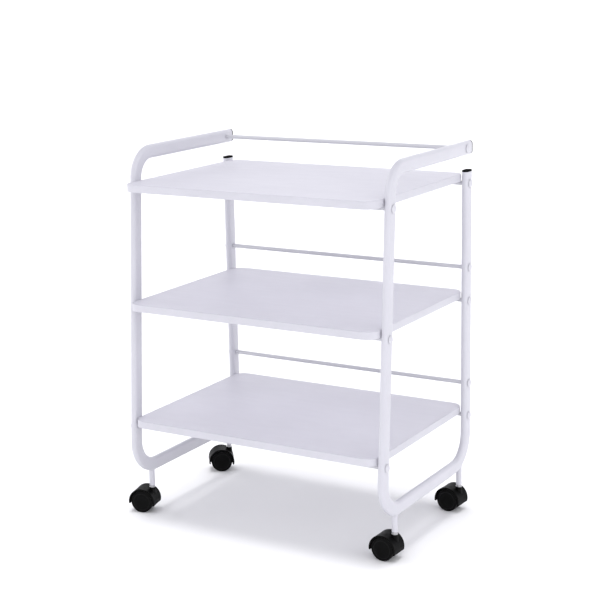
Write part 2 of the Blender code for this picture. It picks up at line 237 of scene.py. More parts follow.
def stretched(tree, coordinates, scale):
    """The coordinates scaled by a different amount along each axis."""
    links = [("Vector", coordinates), ("Scale", scale)]
    return add_node(tree, "ShaderNodeMapping", links).outputs[0]


def noise(tree, coordinates, scale, detail, roughness=0.5):
    links = [("Vector", coordinates), ("Scale", scale), ("Detail", detail), ("Roughness", roughness)]
    return add_node(tree, "ShaderNodeTexNoise", links).outputs[0]


def spread(tree, value, low, high, start=0.3, end=0.7):
    """A 0 to 1 pattern's middle part, stretched to run from low to high."""
    links = [(0, value), (1, start), (2, end), (3, low), (4, high)]
    return add_node(tree, "ShaderNodeMapRange", links).outputs[0]


def mix(tree, factor, first, second):
    """The first colour where the factor is 0, and the second where it is 1."""
    node = add_node(tree, "ShaderNodeMix", [(0, factor), (6, first), (7, second)], data_type="RGBA")
    return node.outputs[2]


def shaded(colour, amount):
    """The colour made lighter or darker by this share."""
    return (*[min(1.0, channel * (1 + amount)) for channel in colour], 1.0)


def bumped(tree, height, depth, before=None):
    """The normal bent by this height pattern, on top of the bump before it."""
    links = [("Height", height), ("Distance", depth), ("Strength", 1.0)]
    if before is not None:
        links.append(("Normal", before))
    return add_node(tree, "ShaderNodeBump", links).outputs[0]


def new_material(name, metallic=0.0):
    """A material, its node tree and shader, and the coordinates that its patterns use."""
    made = bpy.data.materials.new(name)
    made.use_nodes = True
    shader = made.node_tree.nodes["Principled BSDF"]
    shader.inputs["Metallic"].default_value = metallic
    coordinates = add_node(made.node_tree, "ShaderNodeTexCoord").outputs["Object"]
    return made, made.node_tree, shader, coordinates


def edge_factor(tree, start, end):
    """0 on flat and hollow places, rising to 1 on the outer edges."""
    pointiness = add_node(tree, "ShaderNodeNewGeometry").outputs["Pointiness"]
    return spread(tree, pointiness, 0.0, 1.0, start, end)


def times(tree, first, second):
    return add_node(tree, "ShaderNodeMath", [(0, first), (1, second)], operation="MULTIPLY").outputs[0]


def powder_coat(name, colour, roughness):
    """Baked powder coat: orange peel, faint clouding and a few rubbed scuffs."""
    made, tree, shader, coordinates = new_material(name)
    clouds = spread(tree, noise(tree, coordinates, scale=7.0, detail=3.0), 0.0, 1.0)
    tone = mix(tree, clouds, shaded(colour, -0.022), shaded(colour, 0.016))
    specks = noise(tree, coordinates, scale=1400.0, detail=1.0)
    specks = spread(tree, specks, 0.0, 1.0, start=0.62, end=0.78)
    tone = mix(tree, times(tree, specks, 0.05), tone, COAT_SPECK)
    scuffs = noise(tree, coordinates, scale=46.0, detail=8.0, roughness=0.72)
    scuffs = spread(tree, scuffs, 0.0, 1.0, start=0.66, end=0.74)
    tone = mix(tree, times(tree, scuffs, 0.10), tone, COAT_SCUFF)
    edges = edge_factor(tree, start=0.56, end=0.68)
    tone = mix(tree, times(tree, edges, 0.10), tone, COAT_RUBBED)
    tree.links.new(tone, shader.inputs["Base Color"])
    lustre = noise(tree, coordinates, scale=34.0, detail=4.0)
    lustre = spread(tree, lustre, roughness - 0.05, roughness + 0.07)
    tree.links.new(lustre, shader.inputs["Roughness"])
    peel = noise(tree, coordinates, scale=420.0, detail=2.0)
    grain = noise(tree, coordinates, scale=2100.0, detail=1.0)
    normal = bumped(tree, grain, COAT_GRAIN_DEPTH, bumped(tree, peel, PEEL_DEPTH))
    tree.links.new(normal, shader.inputs["Normal"])
    return made


def laminate(name, colour, roughness):
    """Melamine face: soft cloudy tone, pearl-grain bump and fine wiping marks."""
    made, tree, shader, coordinates = new_material(name)
    shader.inputs["Specular IOR Level"].default_value = BOARD_GLOSS
    clouds = noise(tree, coordinates, scale=4.2, detail=4.0, roughness=0.55)
    clouds = spread(tree, clouds, 0.0, 1.0)
    tone = mix(tree, clouds, shaded(colour, -0.030), shaded(colour, 0.022))
    wiped = stretched(tree, coordinates, (14.0, 60.0, 14.0))
    streaks = noise(tree, wiped, scale=1.0, detail=6.0, roughness=0.65)
    streaks = spread(tree, streaks, 0.0, 1.0, start=0.35, end=0.75)
    tone = mix(tree, times(tree, streaks, 0.05), tone, shaded(colour, -0.20))
    tree.links.new(tone, shader.inputs["Base Color"])
    lustre = spread(tree, streaks, roughness - 0.04, roughness + 0.08, start=0.0, end=1.0)
    tree.links.new(lustre, shader.inputs["Roughness"])
    pearl = noise(tree, coordinates, scale=1100.0, detail=2.0, roughness=0.6)
    tree.links.new(bumped(tree, pearl, PEARL_DEPTH), shader.inputs["Normal"])
    return made


def band_plastic(name, colour, roughness):
    """Extruded edge band: trimming ripples across it and a slightly dulled outer edge."""
    made, tree, shader, coordinates = new_material(name)
    clouds = spread(tree, noise(tree, coordinates, scale=11.0, detail=3.0), 0.0, 1.0)
    tone = mix(tree, clouds, shaded(colour, -0.03), shaded(colour, 0.02))
    edges = edge_factor(tree, start=0.53, end=0.62)
    tone = mix(tree, times(tree, edges, 0.14), tone, shaded(colour, -0.35))
    tree.links.new(tone, shader.inputs["Base Color"])
    upright = stretched(tree, coordinates, (260.0, 260.0, 22.0))
    ripples = noise(tree, upright, scale=1.0, detail=2.0)
    lustre = spread(tree, ripples, roughness - 0.04, roughness + 0.06)
    tree.links.new(lustre, shader.inputs["Roughness"])
    tree.links.new(bumped(tree, ripples, BAND_RIPPLE_DEPTH), shader.inputs["Normal"])
    return made


def black_plastic(name, colour, roughness, gloss, rubbed_and_highlight, grain_scale, grain_depth):
    """Moulded black plastic: spark-eroded grain, faint flow clouds and lighter edges, which are rubbed wear
    and, on the hood, also a painted highlight.
    """
    made, tree, shader, coordinates = new_material(name)
    shader.inputs["Specular IOR Level"].default_value = gloss
    clouds = spread(tree, noise(tree, coordinates, scale=60.0, detail=4.0), 0.0, 1.0)
    tone = mix(tree, clouds, shaded(colour, -0.15), shaded(colour, 0.20))
    breaks = noise(tree, coordinates, scale=300.0, detail=4.0)
    breaks = spread(tree, breaks, 0.3, 1.0, start=0.35, end=0.65)
    # Lighter outer edges: rubbed wear, and on the hood also a painted highlight
    edges = times(tree, edge_factor(tree, start=0.53, end=0.64), breaks)
    tone = mix(tree, times(tree, edges, 0.7), tone, rubbed_and_highlight)
    dust = noise(tree, coordinates, scale=900.0, detail=2.0)
    dust = spread(tree, dust, 0.0, 1.0, start=0.66, end=0.82)
    tone = mix(tree, times(tree, dust, 0.03), tone, PLASTIC_DUST)
    tree.links.new(tone, shader.inputs["Base Color"])
    lustre = noise(tree, coordinates, scale=140.0, detail=5.0)
    lustre = spread(tree, lustre, roughness - 0.06, roughness + 0.10)
    tree.links.new(lustre, shader.inputs["Roughness"])
    pits = noise(tree, coordinates, grain_scale, detail=3.0, roughness=0.6)
    tree.links.new(bumped(tree, pits, grain_depth), shader.inputs["Normal"])
    return made


def wheel_plastic(name, colour, roughness):
    """Black nylon: turning rings about the axle, local Z, and a tread dulled by the floor."""
    made, tree, shader, coordinates = new_material(name)
    shader.inputs["Specular IOR Level"].default_value = CASTER_GLOSS
    clouds = spread(tree, noise(tree, coordinates, scale=90.0, detail=4.0), 0.0, 1.0)
    tone = mix(tree, clouds, shaded(colour, -0.15), shaded(colour, 0.20))
    parts = add_node(tree, "ShaderNodeSeparateXYZ", [("Vector", coordinates)]).outputs
    flat = add_node(tree, "ShaderNodeCombineXYZ", [("X", parts["X"]), ("Y", parts["Y"])]).outputs[0]
    radius = add_node(tree, "ShaderNodeVectorMath", [(0, flat)], operation="LENGTH").outputs["Value"]
    worn_from = WHEEL_RADIUS - TREAD_WEAR_START
    worn_to = WHEEL_RADIUS - TREAD_WEAR_END
    tread = spread(tree, radius, 0.0, 1.0, start=worn_from, end=worn_to)
    patches = spread(tree, noise(tree, coordinates, scale=220.0, detail=5.0), 0.15, 0.75)
    tone = mix(tree, times(tree, tread, patches), tone, TREAD_WORN)
    # Painted highlight: the wheel's shoulders and groove lips are made lighter
    edges = edge_factor(tree, start=0.52, end=0.60)
    tone = mix(tree, times(tree, edges, 0.8), tone, WHEEL_EDGE_HIGHLIGHT)
    tree.links.new(tone, shader.inputs["Base Color"])
    lustre = noise(tree, coordinates, scale=170.0, detail=5.0)
    lustre = spread(tree, lustre, roughness - 0.05, roughness + 0.10)
    tree.links.new(lustre, shader.inputs["Roughness"])
    rings = add_node(
        tree,
        "ShaderNodeTexWave",
        [("Vector", coordinates), ("Scale", 380.0), ("Distortion", 0.4), ("Detail", 1.0)],
        wave_type="RINGS",
        rings_direction="Z",
    ).outputs[0]
    grain = noise(tree, coordinates, scale=1300.0, detail=2.0)
    normal = bumped(tree, grain, WHEEL_GRAIN_DEPTH, bumped(tree, rings, WHEEL_RING_DEPTH))
    tree.links.new(normal, shader.inputs["Normal"])
    return made


def zinc(name, colour, roughness):
    """Bright zinc plate: fine turned grain and slightly uneven lustre."""
    made, tree, shader, coordinates = new_material(name, metallic=1.0)
    clouds = spread(tree, noise(tree, coordinates, scale=240.0, detail=4.0), 0.0, 1.0)
    tone = mix(tree, clouds, shaded(colour, -0.12), shaded(colour, 0.06))
    tree.links.new(tone, shader.inputs["Base Color"])
    turned = stretched(tree, coordinates, (60.0, 60.0, 4000.0))
    marks = noise(tree, turned, scale=1.0, detail=2.0)
    lustre = spread(tree, marks, roughness - 0.06, roughness + 0.10)
    tree.links.new(lustre, shader.inputs["Roughness"])
    tree.links.new(bumped(tree, marks, ZINC_MARK_DEPTH), shader.inputs["Normal"])
    return made


COAT = powder_coat("white_powder_coat", (0.58, 0.575, 0.62), 0.36)
ROD_COAT = powder_coat("white_rod_coat", (0.58, 0.58, 0.61), 0.34)
BOLT_COAT = powder_coat("white_bolt_coat", (0.60, 0.595, 0.635), 0.30)
BOARD = laminate("white_laminate", (0.64, 0.63, 0.684), 0.50)
BAND = band_plastic("white_edge_band", (0.57, 0.565, 0.61), 0.42)
PLUG = black_plastic(
    "black_plug_plastic",
    (0.004, 0.004, 0.004),
    0.60,
    gloss=PLUG_GLOSS,
    rubbed_and_highlight=PLUG_RUBBED,
    grain_scale=2200.0,
    grain_depth=PLUG_GRAIN_DEPTH,
)
HOOD = black_plastic(
    "black_hood_plastic",
    (0.0035, 0.0035, 0.0035),
    0.46,
    gloss=CASTER_GLOSS,
    rubbed_and_highlight=HOOD_RUBBED_AND_HIGHLIGHT,
    grain_scale=1500.0,
    grain_depth=HOOD_GRAIN_DEPTH,
)
WHEEL = wheel_plastic("black_wheel_nylon", (0.0035, 0.0035, 0.0035), 0.42)
STEEL = zinc("bright_zinc", (0.46, 0.46, 0.47), 0.28)


# ------------------------------------------------------------------ outlines


def eased(points, steps=EASE_STEPS):
    """The outline through these (a, b, radius) points, each corner rounded to its radius."""
    outline = []
    count = len(points)
    for i, (a, b, radius) in enumerate(points):
        corner = Vector((a, b))
        if radius == 0:
            outline.append(corner)
            continue
        back = (Vector(points[i - 1][:2]) - corner).normalized()
        ahead = (Vector(points[(i + 1) % count][:2]) - corner).normalized()
        half = back.angle(ahead) / 2
        centre = corner + (back + ahead).normalized() * radius / math.sin(half)
        start = corner + back * radius / math.tan(half) - centre
        end = corner + ahead * radius / math.tan(half) - centre
        turn = start.angle(end)
        for k in range(steps + 1):
            before = math.sin(turn * (1 - k / steps)) / math.sin(turn)
            after = math.sin(turn * k / steps) / math.sin(turn)
            outline.append(centre + start * before + end * after)
    return outline


def stadium(width, thickness):
    """Outline of a flat oval, its wide way along the first axis."""
    radius = thickness / 2
    offset = width / 2 - radius
    points = []
    for side, start in ((1, -math.pi / 2), (-1, math.pi / 2)):
        for i in range(OVAL_STEPS + 1):
            angle = start + math.pi * i / OVAL_STEPS
            points.append(Vector((side * offset + radius * math.cos(angle), radius * math.sin(angle))))
    return points


def rounded_rectangle(width, depth, radius):
    """Outline of a rectangle about the origin, with round corners."""
    points = []
    for quarter in range(4):
        x_side = (1, -1, -1, 1)[quarter]
        y_side = (1, 1, -1, -1)[quarter]
        centre = Vector((x_side * (width / 2 - radius), y_side * (depth / 2 - radius)))
        for i in range(CORNER_STEPS + 1):
            angle = math.pi / 2 * (quarter + i / CORNER_STEPS)
            points.append(centre + radius * Vector((math.cos(angle), math.sin(angle))))
    return points


def cylinder(radius, top, bottom):
    """Profile of a plain cylinder, from its top on the axis to its bottom on the axis."""
    return [(0, top), (radius, top), (radius, bottom), (0, bottom)]


def dome(radius, low, high):
    """Profile of a round cap of a sphere, from its top on the axis down to its rim."""
    rise = high - low
    sphere = (radius**2 + rise**2) / (2 * rise)
    half_angle = math.asin(radius / sphere)
    angles = [half_angle * i / DOME_STEPS for i in range(DOME_STEPS + 1)]
    return [(sphere * math.sin(angle), high - sphere * (1 - math.cos(angle))) for angle in angles]


# -------------------------------------------------------------------- meshes


def loft(rings, closed=False):
    """Skin over rings of equal length: a loop of rings, or a run of them with flat ends."""
    bm = bmesh.new()
    made = [[bm.verts.new(point) for point in ring] for ring in rings]
    following = made[1:] + made[:1] if closed else made[1:]
    for low, high in zip(made, following):
        for i in range(len(low)):
            j = (i + 1) % len(low)
            bm.faces.new((low[i], low[j], high[j], high[i]))
    if not closed:
        bm.faces.new(made[0][::-1])
        bm.faces.new(made[-1])
    return bm


def lathe(profile, sides=FINE_SIDES):
    """Skin turned about Z through (radius, height) points, closed where the radius is 0."""
    bm = bmesh.new()
    rings = []
    for radius, height in profile:
        count = sides if radius > 0 else 1
        angles = [2 * math.pi * i / sides for i in range(count)]
        rings.append([bm.verts.new((radius * math.cos(a), radius * math.sin(a), height)) for a in angles])
    for upper, lower in zip(rings, rings[1:]):
        for i in range(sides):
            j = (i + 1) % sides
            corners = [
                upper[i % len(upper)],
                upper[j % len(upper)],
                lower[j % len(lower)],
                lower[i % len(lower)],
            ]
            bm.faces.new(list(dict.fromkeys(corners)))
    return bm


def smoothed(mesh):
    """Smooth shading, except across edges that turn by more than the sharp angle."""
    mesh.shade_smooth()
    mesh.set_sharp_from_angle(angle=SHARP_ANGLE)


def to_object(bm, name, look, place=None):
    """The mesh as an object with its faces outwards, in its material and at its place."""
    bmesh.ops.recalc_face_normals(bm, faces=bm.faces)
    mesh = bpy.data.meshes.new(name)
    bm.to_mesh(mesh)
    bm.free()
    mesh.materials.append(look)
    smoothed(mesh)
    made = bpy.data.objects.new(name, mesh)
    bpy.context.scene.collection.objects.link(made)
    if place is not None:
        made.matrix_world = place
    return made


def combine(obj, others, operation):
    """Unites the other objects with this one, or cuts them from it, and removes them."""
    for other in others:
        step = obj.modifiers.new(other.name, "BOOLEAN")
        step.operation = operation
        step.solver = "EXACT"
        step.object = other
    bpy.context.view_layer.update()
    evaluated = obj.evaluated_get(bpy.context.evaluated_depsgraph_get())
    mesh = bpy.data.meshes.new_from_object(evaluated)
    obj.modifiers.clear()
    obj.data = mesh
    for other in others:
        bpy.data.objects.remove(other, do_unlink=True)
    bm = bmesh.new()
    bm.from_mesh(mesh)
    bmesh.ops.dissolve_degenerate(bm, dist=SMALLEST_EDGE, edges=bm.edges)
    bm.to_mesh(mesh)
    bm.free()
    smoothed(mesh)


def finish_piece(piece, node, body):
    """The piece stands for the CAD node and moves with the body."""
    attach(piece, body)
    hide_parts(node)


def along_x(place):
    """A place whose local Z runs along world +X."""
    return Matrix.Translation(place) @ Matrix.Rotation(math.pi / 2, 4, "Y")


# --------------------------------------------------------------- side frames


def tube_rings(path, x, width, thickness):
    """The flat oval at each point of a path in (y, z), its wide way across the path."""
    section = stadium(width, thickness)
    rings = []
    for i, point in enumerate(path):
        before = path[max(i - 1, 0)]
        after = path[min(i + 1, len(path) - 1)]
        along = (after - before).normalized()
        across = Vector((-along.y, along.x))
        ring = []
        for wide, thin in section:
            y, z = point + across * wide
            ring.append(Vector((x + thin, y, z)))
        rings.append(ring)
    return rings


def socket(name, x, y, low):
    """A round caster socket with an eased mouth, its top inside the tube."""
    top = RUN_Z
    profile = eased(
        [
            (0, top, 0),
            (SOCKET_RADIUS, top, 0),
            (SOCKET_RADIUS, low, SOCKET_EASE),
            (SOCKET_BORE_RADIUS, low, 0),
            (0, low, 0),
        ]
    )
    return to_object(lathe(profile), name, COAT, Matrix.Translation((x, y, 0)))


def weld(name, tube, x, y, low):
    """The fillet weld where a socket meets the underside of its tube."""
    tree = BVHTree.FromObject(tube, bpy.context.evaluated_depsgraph_get())
    rings = []
    for i in range(WELD_STEPS):
        angle = 2 * math.pi * i / WELD_STEPS
        outwards = Vector((math.cos(angle), math.sin(angle), 0))
        start = Vector((x, y, low)) + outwards * SOCKET_RADIUS
        hit = tree.ray_cast(start, Vector((0, 0, 1)))[0]
        ring = []
        for k in range(WELD_SIDES):
            turn = 2 * math.pi * k / WELD_SIDES
            ring.append(hit + WELD_RADIUS * (outwards * math.cos(turn) + Vector((0, 0, math.sin(turn)))))
        rings.append(ring)
    return to_object(loft(rings, closed=True), name, COAT)


def side_frame(side):
    """One bent flat-oval tube with its two caster sockets, bolted through at each rod."""
    node = f"side_frame_{side}"
    low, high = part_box(node)
    x = (low.x + high.x) / 2
    thickness = high.x - low.x
    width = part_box(f"post_plug_{side}")[1].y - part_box(f"post_plug_{side}")[0].y
    rear_y = centre_of("shelf_rod_rear_bottom").y
    handle_z = centre_of("guard_rod_top").z
    post_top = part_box(f"post_plug_{side}")[1].z - PLUG_HEAD - GAP
    handle_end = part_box(f"handle_plug_{side}")[1].y - PLUG_HEAD - GAP
    path = eased(
        [
            (rear_y, post_top, 0),
            (rear_y, RUN_Z, LOWER_BEND_RADIUS),
            (front_axis_y(RUN_Z), RUN_Z, LOWER_BEND_RADIUS),
            (front_axis_y(handle_z), handle_z, UPPER_BEND_RADIUS),
            (handle_end, handle_z, 0),
        ],
        steps=BEND_STEPS,
    )
    outer = tube_rings(path, x, width, thickness)
    inner = tube_rings(path, x, width - 2 * TUBE_WALL, thickness - 2 * TUBE_WALL)
    frame_piece = to_object(loft(outer + inner[::-1], closed=True), f"{node}_fine", COAT)
    added = []
    for end in ("front", "rear"):
        stem_place = centre_of(f"caster_{end}_{side}_stem")
        added.append(socket(f"socket_{end}_{side}", x, stem_place.y, low.z))
        added.append(weld(f"weld_{end}_{side}", frame_piece, x, stem_place.y, low.z))
    combine(frame_piece, added, "UNION")
    cut = []
    for end in ("front", "rear"):
        y = centre_of(f"caster_{end}_{side}_stem").y
        bore = cylinder(SOCKET_BORE_RADIUS, low.z + SOCKET_BORE_DEPTH, low.z - SOCKET_EASE)
        cut.append(to_object(lathe(bore), f"bore_{end}_{side}", COAT, Matrix.Translation((x, y, 0))))
    for rod_name in ROD_NAMES:
        y, z = centre_of(rod_name).yz
        hole = cylinder(BOLT_HOLE_RADIUS, thickness, -thickness)
        cut.append(to_object(lathe(hole), f"hole_{rod_name}_{side}", COAT, along_x((x, y, z))))
    combine(frame_piece, cut, "DIFFERENCE")
    finish_piece(frame_piece, node, "frame")


def end_plug(node, place, turn):
    """A flat-oval plug, upright unless turned: a crowned head with an eased rim over a narrower insert."""
    low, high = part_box(node)
    wide = high.y - low.y if turn is None else high.z - low.z
    thin = high.x - low.x
    inset = TUBE_WALL + GAP
    depth = (high.z - low.z if turn is None else high.y - low.y) - PLUG_HEAD
    profile = eased(
        [
            (inset, -depth, 0),
            (inset, 0, 0),
            (0, 0, GAP),
            (0, PLUG_HEAD - PLUG_CROWN, PLUG_EASE),
            (thin / 3, PLUG_HEAD, 0),
        ]
    )
    rings = []
    for drawn_in, z in profile:
        outline = stadium(wide - 2 * drawn_in, thin - 2 * drawn_in)
        rings.append([(a, b, z) for a, b in outline])
    matrix = Matrix.Translation(place) @ (turn or Matrix.Identity(4)) @ Matrix.Rotation(math.pi / 2, 4, "Z")
    piece = to_object(loft(rings), f"{node}_fine", PLUG, matrix)
    finish_piece(piece, node, "frame")


def end_plugs(side):
    """The plugs in the rear post's top and in the handle's rear end."""
    low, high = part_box(f"post_plug_{side}")
    place = ((low.x + high.x) / 2, (low.y + high.y) / 2, high.z - PLUG_HEAD)
    end_plug(f"post_plug_{side}", place, None)
    low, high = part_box(f"handle_plug_{side}")
    place = ((low.x + high.x) / 2, high.y - PLUG_HEAD, (low.z + high.z) / 2)
    end_plug(f"handle_plug_{side}", place, Matrix.Rotation(-math.pi / 2, 4, "X"))


# ------------------------------------------------------------------- shelves


def shelf_rings(level, profile):
    """The shelf's outline drawn in by each inset of the profile, at each height above its underside."""
    low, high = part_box(f"edge_band_{level}")
    centre = (low + high) / 2
    size = high - low
    rings = []
    for inset, z in profile:
        outline = rounded_rectangle(size.x - 2 * inset, size.y - 2 * inset, SHELF_CORNER_RADIUS - inset)
        rings.append([(centre.x + x, centre.y + y, low.z + z) for x, y in outline])
    return rings


def shelf(level):
    """The board and the band round its edge."""
    low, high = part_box(f"edge_band_{level}")
    thickness = high.z - low.z
    inset = EDGE_BAND_THICKNESS + GAP
    board = eased(
        [
            (BOARD_FACE_INSET, 0, 0),
            (inset, 0, BOARD_EASE),
            (inset, thickness, BOARD_EASE),
            (BOARD_FACE_INSET, thickness, 0),
        ]
    )
    piece = to_object(loft(shelf_rings(level, board)), f"shelf_{level}_fine", BOARD)
    finish_piece(piece, f"shelf_{level}", "frame")
    band = eased(
        [
            (0, 0, BAND_EASE),
            (0, thickness, BAND_EASE),
            (EDGE_BAND_THICKNESS, thickness, BAND_INNER_EASE),
            (EDGE_BAND_THICKNESS, 0, BAND_INNER_EASE),
        ]
    )
    piece = to_object(loft(shelf_rings(level, band), closed=True), f"edge_band_{level}_fine", BAND)
    finish_piece(piece, f"edge_band_{level}", "frame")


# ------------------------------------------------------------ rods and bolts


def rod(node):
    """A round cross rod with a tapped hole in each end."""
    low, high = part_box(node)
    half = (high.x - low.x) / 2
    hole = BOLT_HOLE_RADIUS
    hole_end = half - ROD_TAPPED_DEPTH
    profile = eased(
        [
            (0, hole_end, 0),
            (hole, hole_end, 0),
            (hole, half, 0),
            (ROD_RADIUS, half, ROD_EASE),
            (ROD_RADIUS, -half, ROD_EASE),
            (hole, -half, 0),
            (hole, -hole_end, 0),
            (0, -hole_end, 0),
        ]
    )
    piece = to_object(lathe(profile), f"{node}_fine", ROD_COAT, along_x(centre_of(node)))
    finish_piece(piece, node, "frame")


def bolt(node, sign):
    """A domed bolt whose head stands on a narrower foot on the side frame's outer face."""
    low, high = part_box(node)
    reach = high.x - low.x - BOLT_HEAD_HEIGHT
    cap = dome(BOLT_HEAD_RADIUS, BOLT_RIM_HEIGHT, BOLT_HEAD_HEIGHT)
    rim = eased(
        [
            (*cap[-2], 0),
            (*cap[-1], BOLT_RIM_EASE),
            (BOLT_HEAD_RADIUS, BOLT_FOOT_HEIGHT, BOLT_RIM_EASE / 2),
            (BOLT_FOOT_RADIUS, BOLT_FOOT_HEIGHT, 0),
            (BOLT_FOOT_RADIUS, 0, 0),
            (BOLT_RADIUS, 0, 0),
            (BOLT_RADIUS, -reach, 0),
            (0, -reach, 0),
        ]
    )
    centre = centre_of(node)
    outer_face = low.x + BOLT_HEAD_HEIGHT if sign < 0 else high.x - BOLT_HEAD_HEIGHT
    turn = Matrix.Rotation(sign * math.pi / 2, 4, "Y")
    place = Matrix.Translation((outer_face, centre.y, centre.z)) @ turn
    piece = to_object(lathe(cap[:-2] + rim), f"{node}_fine", BOLT_COAT, place)
    finish_piece(piece, node, "frame")


# ------------------------------------------------------------------- casters


def stem(corner):
    """A turned stem: a pin in the frame's socket, a neck, a collar and a pin in the hood."""
    node = f"caster_{corner}_stem"
    low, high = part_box(node)
    socket_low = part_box(f"side_frame_{corner.split('_')[1]}")[0].z
    collar_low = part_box(f"caster_{corner}_hood")[1].z + GAP
    collar_high = collar_low + STEM_COLLAR_HEIGHT
    neck_top = socket_low - GAP
    profile = eased(
        [
            (0, high.z, 0),
            (STEM_PIN_RADIUS, high.z, STEM_EASE),
            (STEM_PIN_RADIUS, neck_top, 0),
            (STEM_NECK_RADIUS, neck_top, STEM_EASE),
            (STEM_NECK_RADIUS, collar_high, STEM_EASE),
            (STEM_COLLAR_RADIUS, collar_high, STEM_EASE),
            (STEM_COLLAR_RADIUS, collar_low, STEM_EASE),
            (STEM_RADIUS, collar_low, 0),
            (STEM_RADIUS, low.z, STEM_EASE),
            (0, low.z, 0),
        ]
    )
    centre = centre_of(node)
    piece = to_object(lathe(profile), f"{node}_fine", STEEL, Matrix.Translation((centre.x, centre.y, 0)))
    finish_piece(piece, node, "frame")


def skirt_angle(radius, share):
    """The angle about the axle, from skirt to skirt, where the skirts end on one sloping plane."""
    below = math.asin(HOOD_SKIRT / radius)
    first = HOOD_SKIRT_SLOPE - below
    last = math.pi + HOOD_SKIRT_SLOPE + below
    return first + (last - first) * share


def arch(name):
    """The cover's arch over both wheels, with a raised rim along each side and rounded skirt ends."""

    def section(inset):
        half = CASTER_WIDTH / 2 - inset
        outer = HOOD_RADIUS - inset
        inner = HOOD_RADIUS - HOOD_WALL + inset
        step = half - HOOD_RIM_WIDTH
        outer_ease = HOOD_EASE - inset / 2
        inner_ease = outer_ease / 2
        rim_ease = HOOD_RIM_HEIGHT / 3
        return eased(
            [
                (half, inner, inner_ease),
                (half, outer, outer_ease),
                (step, outer, rim_ease),
                (step - HOOD_RIM_HEIGHT, outer - HOOD_RIM_HEIGHT, rim_ease),
                (HOOD_RIM_HEIGHT - step, outer - HOOD_RIM_HEIGHT, rim_ease),
                (-step, outer, rim_ease),
                (-half, outer, outer_ease),
                (-half, inner, inner_ease),
            ]
        )

    length = HOOD_RADIUS * (math.pi + 2 * math.asin(HOOD_SKIRT / HOOD_RADIUS))
    # Each skirt end starts drawn in by the whole ease, then by part of it, then not at all.
    part_way = HOOD_EASE * HOOD_END_ROUND
    ease_ends = [(0.0, HOOD_EASE), (part_way / length, part_way), (HOOD_EASE / length, 0.0)]
    shares = ease_ends + [(i / HOOD_STEPS, 0.0) for i in range(1, HOOD_STEPS)]
    shares += [(1 - share, inset) for share, inset in ease_ends[::-1]]
    rings = []
    for share, inset in shares:
        ring = []
        for along, radius in section(inset):
            angle = skirt_angle(radius, share)
            ring.append((radius * math.cos(angle), along, radius * math.sin(angle)))
        rings.append(ring)
    return to_object(loft(rings), name, HOOD)


def web(name):
    """The plate between the wheels that holds the axle and the stem."""
    radius = HOOD_RADIUS - HOOD_WALL / 2
    outline = []
    for i in range(HOOD_STEPS + 1):
        angle = skirt_angle(radius, i / HOOD_STEPS)
        outline.append((radius * math.cos(angle), radius * math.sin(angle)))
    lift = HOOD_EASE / 2
    rings = [[(x, y, z + lift) for x, z in outline] for y in (-HOOD_WEB / 2, HOOD_WEB / 2)]
    return to_object(loft(rings), name, HOOD)


def hood(corner):
    """The arch, its web and its boss in one, bored for the stem and the axle, and turned to its trail."""
    node = f"caster_{corner}_hood"
    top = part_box(node)[1].z
    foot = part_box(f"caster_{corner}_stem")[0].z
    swivel = Vector(JOINTS[f"caster_{corner}_swivel"]["pos_m"])
    axle = Vector(JOINTS[f"caster_{corner}_roll_a"]["pos_m"])
    trail = Vector((axle.x - swivel.x, axle.y - swivel.y))
    yaw = math.atan2(trail.y, trail.x)
    place = Matrix.Translation(axle) @ Matrix.Rotation(yaw, 4, "Z")
    stem_axis = Matrix.Translation((-trail.length, 0, -axle.z))
    piece = arch(f"{node}_fine")
    boss = eased(
        [
            (0, top, 0),
            (BOSS_TOP_RADIUS, top, BOSS_EASE),
            (BOSS_ROOT_RADIUS, axle.z + HOOD_RADIUS / 2, 0),
            (0, axle.z + HOOD_RADIUS / 2, 0),
        ]
    )
    combine(piece, [web(f"{node}_web"), to_object(lathe(boss), f"{node}_boss", HOOD, stem_axis)], "UNION")
    stem_bore = cylinder(STEM_BORE_RADIUS, top + GAP, foot - GAP)
    axle_bore = cylinder(WHEEL_BORE_RADIUS + GAP, HOOD_WEB, -HOOD_WEB)
    cutters = [
        to_object(lathe(stem_bore), f"{node}_stem_bore", HOOD, stem_axis),
        to_object(lathe(axle_bore), f"{node}_axle_bore", HOOD, Matrix.Rotation(math.pi / 2, 4, "X")),
    ]
    combine(piece, cutters, "DIFFERENCE")
    piece.matrix_world = place
    finish_piece(piece, node, f"caster_{corner}")


def wheel(corner, letter):
    """A wheel with rounded shoulders and a grooved, slightly domed outer face."""
    node = f"caster_{corner}_wheel_{letter}"
    axle = Vector(JOINTS[f"caster_{corner}_roll_{letter}"]["pos_m"])
    outwards = (centre_of(node) - axle).normalized()
    outer = CASTER_WIDTH / 2
    inner = outer - WHEEL_WIDTH
    shoulder_face = outer - WHEEL_FACE_DROP
    groove_floor = shoulder_face - WHEEL_GROOVE_DEPTH
    groove = WHEEL_GROOVE_RADIUS
    bore_end = AXLE_LENGTH / 2 + GAP
    ease = WHEEL_GROOVE_DEPTH / 3
    profile = dome(groove - WHEEL_GROOVE_WIDTH, shoulder_face, outer)
    profile += eased(
        [
            (groove - WHEEL_GROOVE_WIDTH, shoulder_face - ease, 0),
            (groove - WHEEL_GROOVE_WIDTH + ease, groove_floor, 0),
            (groove, groove_floor, ease),
            (groove + ease, shoulder_face, ease),
            (WHEEL_RADIUS, shoulder_face, WHEEL_SHOULDER),
            (WHEEL_RADIUS, inner, WHEEL_SHOULDER),
            (WHEEL_BORE_RADIUS, inner, 0),
            (WHEEL_BORE_RADIUS, bore_end, 0),
            (0, bore_end, 0),
        ]
    )
    turn = outwards.to_track_quat("Z", "X").to_matrix().to_4x4()
    piece = to_object(lathe(profile, HOOD_STEPS), f"{node}_fine", WHEEL, Matrix.Translation(axle) @ turn)
    finish_piece(piece, node, node)


